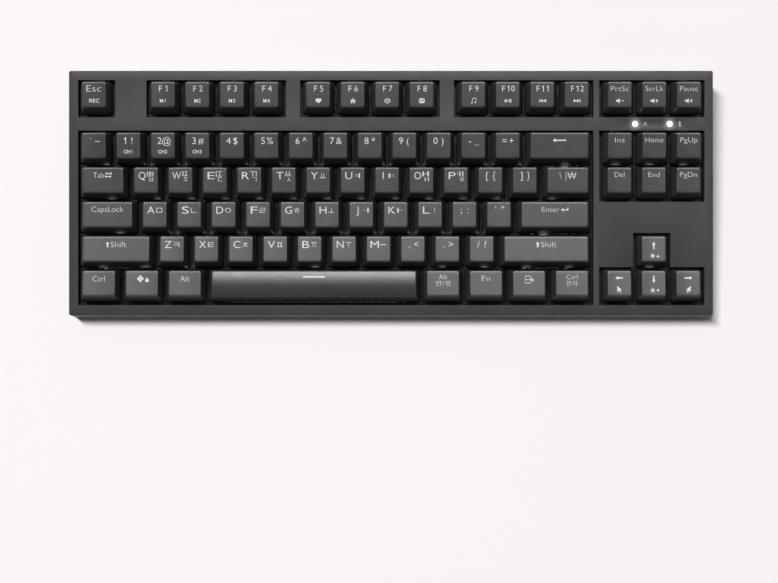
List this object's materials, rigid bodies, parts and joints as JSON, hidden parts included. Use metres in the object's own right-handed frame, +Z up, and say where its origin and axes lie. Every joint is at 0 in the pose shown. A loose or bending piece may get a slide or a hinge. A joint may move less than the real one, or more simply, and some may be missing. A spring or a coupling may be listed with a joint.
{
  "type": "mechanical keyboard",
  "caption": "Tenkeyless mechanical keyboard with a wedge case, sculpted keycaps, sprung switches, wire stabilizers and flip-out rear feet.",
  "frame": {"origin": "on the desk, under the middle of the case's bounding box", "axes": "+X to the typist's right, along the rows; +Y from the space bar towards the function keys; +Z up"},
  "size_m": [0.359, 0.1358, 0.0401],
  "materials": {
    "case_shell": "fine moulded texture, dark charcoal",
    "case_base": "moulded texture, near black",
    "plate": "black powder coat",
    "board": "dark solder mask",
    "switch_base": "black nylon",
    "switch_cover": "clear polycarbonate",
    "spring_steel": "bright wire",
    "stabilizer_plastic": "nylon",
    "key_light": "lit white",
    "light_guide": "lit white",
    "battery_wrap": "shrink wrap",
    "socket_metal": "bright tinned steel",
    "screw_steel": "black zinc",
    "foot_rubber": "soft matt",
    "keycap": "fine grained dark grey with white legends",
    "wire_steel": "polished wire",
    "flip_foot_plastic": "moulded",
    "knob_plastic": "ribbed"
  },
  "bodies": {
    "case": {"top_frame": "case_shell", "bottom_case": "case_base", "switch_plate": "plate", "circuit_board": "board", "switch_lower_housings": "switch_base", "switch_upper_housings": "switch_cover", "switch_springs": "spring_steel", "stabilizer_housings": "stabilizer_plastic", "key_lights": "key_light", "status_light_guides": "light_guide", "battery_pack": "battery_wrap", "usb_socket": "socket_metal", "case_screws": "screw_steel", "rubber_feet": "foot_rubber"},
    "key_q": {"key_q": "keycap"},
    "key_w": {"key_w": "keycap"},
    "key_e": {"key_e": "keycap"},
    "key_r": {"key_r": "keycap"},
    "key_t": {"key_t": "keycap"},
    "key_y": {"key_y": "keycap"},
    "key_u": {"key_u": "keycap"},
    "key_i": {"key_i": "keycap"},
    "key_o": {"key_o": "keycap"},
    "key_p": {"key_p": "keycap"},
    "key_a": {"key_a": "keycap"},
    "key_s": {"key_s": "keycap"},
    "key_d": {"key_d": "keycap"},
    "key_f": {"key_f": "keycap"},
    "key_g": {"key_g": "keycap"},
    "key_h": {"key_h": "keycap"},
    "key_j": {"key_j": "keycap"},
    "key_k": {"key_k": "keycap"},
    "key_l": {"key_l": "keycap"},
    "key_z": {"key_z": "keycap"},
    "key_x": {"key_x": "keycap"},
    "key_c": {"key_c": "keycap"},
    "key_v": {"key_v": "keycap"},
    "key_b": {"key_b": "keycap"},
    "key_n": {"key_n": "keycap"},
    "key_m": {"key_m": "keycap"},
    "key_backspace": {"key_backspace": "keycap"},
    "key_enter": {"key_enter": "keycap"},
    "key_left_shift": {"key_left_shift": "keycap"},
    "key_right_shift": {"key_right_shift": "keycap"},
    "key_space": {"key_space": "keycap"},
    "function_keys_left": {"function_keys_left": "keycap"},
    "function_keys_middle": {"function_keys_middle": "keycap"},
    "function_keys_right": {"function_keys_right": "keycap"},
    "number_keys": {"number_keys": "keycap"},
    "punctuation_keys": {"punctuation_keys": "keycap"},
    "modifier_keys": {"modifier_keys": "keycap"},
    "navigation_keys": {"navigation_keys": "keycap"},
    "wire_backspace": {"wire_backspace": "wire_steel"},
    "wire_enter": {"wire_enter": "wire_steel"},
    "wire_left_shift": {"wire_left_shift": "wire_steel"},
    "wire_right_shift": {"wire_right_shift": "wire_steel"},
    "wire_space": {"wire_space": "wire_steel"},
    "left_flip_foot": {"left_flip_foot": "flip_foot_plastic"},
    "right_flip_foot": {"right_flip_foot": "flip_foot_plastic"},
    "power_switch_knob": {"power_switch_knob": "knob_plastic"}
  },
  "joints": [
    {"name": "key_q_press", "type": "slide", "parent": "case", "child": "key_q", "axis": [0, 0.0872, -0.9962], "range_m": [0, 0.004], "stiffness_N_per_m": 80, "springref_m": -0.004},
    {"name": "key_w_press", "type": "slide", "parent": "case", "child": "key_w", "axis": [0, 0.0872, -0.9962], "range_m": [0, 0.004], "stiffness_N_per_m": 80, "springref_m": -0.004},
    {"name": "key_e_press", "type": "slide", "parent": "case", "child": "key_e", "axis": [0, 0.0872, -0.9962], "range_m": [0, 0.004], "stiffness_N_per_m": 80, "springref_m": -0.004},
    {"name": "key_r_press", "type": "slide", "parent": "case", "child": "key_r", "axis": [0, 0.0872, -0.9962], "range_m": [0, 0.004], "stiffness_N_per_m": 80, "springref_m": -0.004},
    {"name": "key_t_press", "type": "slide", "parent": "case", "child": "key_t", "axis": [0, 0.0872, -0.9962], "range_m": [0, 0.004], "stiffness_N_per_m": 80, "springref_m": -0.004},
    {"name": "key_y_press", "type": "slide", "parent": "case", "child": "key_y", "axis": [0, 0.0872, -0.9962], "range_m": [0, 0.004], "stiffness_N_per_m": 80, "springref_m": -0.004},
    {"name": "key_u_press", "type": "slide", "parent": "case", "child": "key_u", "axis": [0, 0.0872, -0.9962], "range_m": [0, 0.004], "stiffness_N_per_m": 80, "springref_m": -0.004},
    {"name": "key_i_press", "type": "slide", "parent": "case", "child": "key_i", "axis": [0, 0.0872, -0.9962], "range_m": [0, 0.004], "stiffness_N_per_m": 80, "springref_m": -0.004},
    {"name": "key_o_press", "type": "slide", "parent": "case", "child": "key_o", "axis": [0, 0.0872, -0.9962], "range_m": [0, 0.004], "stiffness_N_per_m": 80, "springref_m": -0.004},
    {"name": "key_p_press", "type": "slide", "parent": "case", "child": "key_p", "axis": [0, 0.0872, -0.9962], "range_m": [0, 0.004], "stiffness_N_per_m": 80, "springref_m": -0.004},
    {"name": "key_a_press", "type": "slide", "parent": "case", "child": "key_a", "axis": [0, 0.0872, -0.9962], "range_m": [0, 0.004], "stiffness_N_per_m": 80, "springref_m": -0.004},
    {"name": "key_s_press", "type": "slide", "parent": "case", "child": "key_s", "axis": [0, 0.0872, -0.9962], "range_m": [0, 0.004], "stiffness_N_per_m": 80, "springref_m": -0.004},
    {"name": "key_d_press", "type": "slide", "parent": "case", "child": "key_d", "axis": [0, 0.0872, -0.9962], "range_m": [0, 0.004], "stiffness_N_per_m": 80, "springref_m": -0.004},
    {"name": "key_f_press", "type": "slide", "parent": "case", "child": "key_f", "axis": [0, 0.0872, -0.9962], "range_m": [0, 0.004], "stiffness_N_per_m": 80, "springref_m": -0.004},
    {"name": "key_g_press", "type": "slide", "parent": "case", "child": "key_g", "axis": [0, 0.0872, -0.9962], "range_m": [0, 0.004], "stiffness_N_per_m": 80, "springref_m": -0.004},
    {"name": "key_h_press", "type": "slide", "parent": "case", "child": "key_h", "axis": [0, 0.0872, -0.9962], "range_m": [0, 0.004], "stiffness_N_per_m": 80, "springref_m": -0.004},
    {"name": "key_j_press", "type": "slide", "parent": "case", "child": "key_j", "axis": [0, 0.0872, -0.9962], "range_m": [0, 0.004], "stiffness_N_per_m": 80, "springref_m": -0.004},
    {"name": "key_k_press", "type": "slide", "parent": "case", "child": "key_k", "axis": [0, 0.0872, -0.9962], "range_m": [0, 0.004], "stiffness_N_per_m": 80, "springref_m": -0.004},
    {"name": "key_l_press", "type": "slide", "parent": "case", "child": "key_l", "axis": [0, 0.0872, -0.9962], "range_m": [0, 0.004], "stiffness_N_per_m": 80, "springref_m": -0.004},
    {"name": "key_z_press", "type": "slide", "parent": "case", "child": "key_z", "axis": [0, 0.0872, -0.9962], "range_m": [0, 0.004], "stiffness_N_per_m": 80, "springref_m": -0.004},
    {"name": "key_x_press", "type": "slide", "parent": "case", "child": "key_x", "axis": [0, 0.0872, -0.9962], "range_m": [0, 0.004], "stiffness_N_per_m": 80, "springref_m": -0.004},
    {"name": "key_c_press", "type": "slide", "parent": "case", "child": "key_c", "axis": [0, 0.0872, -0.9962], "range_m": [0, 0.004], "stiffness_N_per_m": 80, "springref_m": -0.004},
    {"name": "key_v_press", "type": "slide", "parent": "case", "child": "key_v", "axis": [0, 0.0872, -0.9962], "range_m": [0, 0.004], "stiffness_N_per_m": 80, "springref_m": -0.004},
    {"name": "key_b_press", "type": "slide", "parent": "case", "child": "key_b", "axis": [0, 0.0872, -0.9962], "range_m": [0, 0.004], "stiffness_N_per_m": 80, "springref_m": -0.004},
    {"name": "key_n_press", "type": "slide", "parent": "case", "child": "key_n", "axis": [0, 0.0872, -0.9962], "range_m": [0, 0.004], "stiffness_N_per_m": 80, "springref_m": -0.004},
    {"name": "key_m_press", "type": "slide", "parent": "case", "child": "key_m", "axis": [0, 0.0872, -0.9962], "range_m": [0, 0.004], "stiffness_N_per_m": 80, "springref_m": -0.004},
    {"name": "key_backspace_press", "type": "slide", "parent": "case", "child": "key_backspace", "axis": [0, 0.0872, -0.9962], "range_m": [0, 0.004], "stiffness_N_per_m": 80, "springref_m": -0.004},
    {"name": "key_enter_press", "type": "slide", "parent": "case", "child": "key_enter", "axis": [0, 0.0872, -0.9962], "range_m": [0, 0.004], "stiffness_N_per_m": 80, "springref_m": -0.004},
    {"name": "key_left_shift_press", "type": "slide", "parent": "case", "child": "key_left_shift", "axis": [0, 0.0872, -0.9962], "range_m": [0, 0.004], "stiffness_N_per_m": 80, "springref_m": -0.004},
    {"name": "key_right_shift_press", "type": "slide", "parent": "case", "child": "key_right_shift", "axis": [0, 0.0872, -0.9962], "range_m": [0, 0.004], "stiffness_N_per_m": 80, "springref_m": -0.004},
    {"name": "key_space_press", "type": "slide", "parent": "case", "child": "key_space", "axis": [0, 0.0872, -0.9962], "range_m": [0, 0.004], "stiffness_N_per_m": 80, "springref_m": -0.004, "deforming": ["switch_springs"]},
    {"name": "function_keys_left_press", "type": "slide", "parent": "case", "child": "function_keys_left", "axis": [0, 0.0872, -0.9962], "range_m": [0, 0.004], "stiffness_N_per_m": 320, "springref_m": -0.004},
    {"name": "function_keys_middle_press", "type": "slide", "parent": "case", "child": "function_keys_middle", "axis": [0, 0.0872, -0.9962], "range_m": [0, 0.004], "stiffness_N_per_m": 320, "springref_m": -0.004},
    {"name": "function_keys_right_press", "type": "slide", "parent": "case", "child": "function_keys_right", "axis": [0, 0.0872, -0.9962], "range_m": [0, 0.004], "stiffness_N_per_m": 320, "springref_m": -0.004},
    {"name": "number_keys_press", "type": "slide", "parent": "case", "child": "number_keys", "axis": [0, 0.0872, -0.9962], "range_m": [0, 0.004], "stiffness_N_per_m": 1040, "springref_m": -0.004},
    {"name": "punctuation_keys_press", "type": "slide", "parent": "case", "child": "punctuation_keys", "axis": [0, 0.0872, -0.9962], "range_m": [0, 0.004], "stiffness_N_per_m": 640, "springref_m": -0.004},
    {"name": "modifier_keys_press", "type": "slide", "parent": "case", "child": "modifier_keys", "axis": [0, 0.0872, -0.9962], "range_m": [0, 0.004], "stiffness_N_per_m": 800, "springref_m": -0.004},
    {"name": "navigation_keys_press", "type": "slide", "parent": "case", "child": "navigation_keys", "axis": [0, 0.0872, -0.9962], "range_m": [0, 0.004], "stiffness_N_per_m": 1040, "springref_m": -0.004},
    {"name": "wire_backspace_turn", "type": "hinge", "parent": "case", "child": "wire_backspace", "pos_m": [0.0931, 0.01619, 0.01934], "axis": [-1, 0, 0], "range_deg": [0, 19.21]},
    {"name": "wire_enter_turn", "type": "hinge", "parent": "case", "child": "wire_enter", "pos_m": [0.09072, -0.02177, 0.01602], "axis": [-1, 0, 0], "range_deg": [0, 19.21]},
    {"name": "wire_left_shift_turn", "type": "hinge", "parent": "case", "child": "wire_left_shift", "pos_m": [-0.15217, -0.04074, 0.01436], "axis": [-1, 0, 0], "range_deg": [0, 19.21]},
    {"name": "wire_right_shift_turn", "type": "hinge", "parent": "case", "child": "wire_right_shift", "pos_m": [0.08596, -0.04074, 0.01436], "axis": [-1, 0, 0], "range_deg": [0, 19.21]},
    {"name": "wire_space_turn", "type": "hinge", "parent": "case", "child": "wire_space", "pos_m": [-0.04263, -0.05972, 0.0127], "axis": [-1, 0, 0], "range_deg": [0, 19.21]},
    {"name": "left_flip_foot_turn", "type": "hinge", "parent": "case", "child": "left_flip_foot", "pos_m": [-0.145, 0.055, 0.0033], "axis": [1, 0, 0], "range_deg": [0, 90]},
    {"name": "right_flip_foot_turn", "type": "hinge", "parent": "case", "child": "right_flip_foot", "pos_m": [0.145, 0.055, 0.0033], "axis": [1, 0, 0], "range_deg": [0, 90]},
    {"name": "power_switch_slide", "type": "slide", "parent": "case", "child": "power_switch_knob", "axis": [1, 0, 0], "range_m": [0, 0.003]}
  ],
  "couplings": [
    {"joint": "wire_backspace_turn", "follows": "key_backspace_press", "rad_per_m": 83.724},
    {"joint": "wire_enter_turn", "follows": "key_enter_press", "rad_per_m": 83.724},
    {"joint": "wire_left_shift_turn", "follows": "key_left_shift_press", "rad_per_m": 83.724},
    {"joint": "wire_right_shift_turn", "follows": "key_right_shift_press", "rad_per_m": 83.724},
    {"joint": "wire_space_turn", "follows": "key_space_press", "rad_per_m": 83.724}
  ]
}
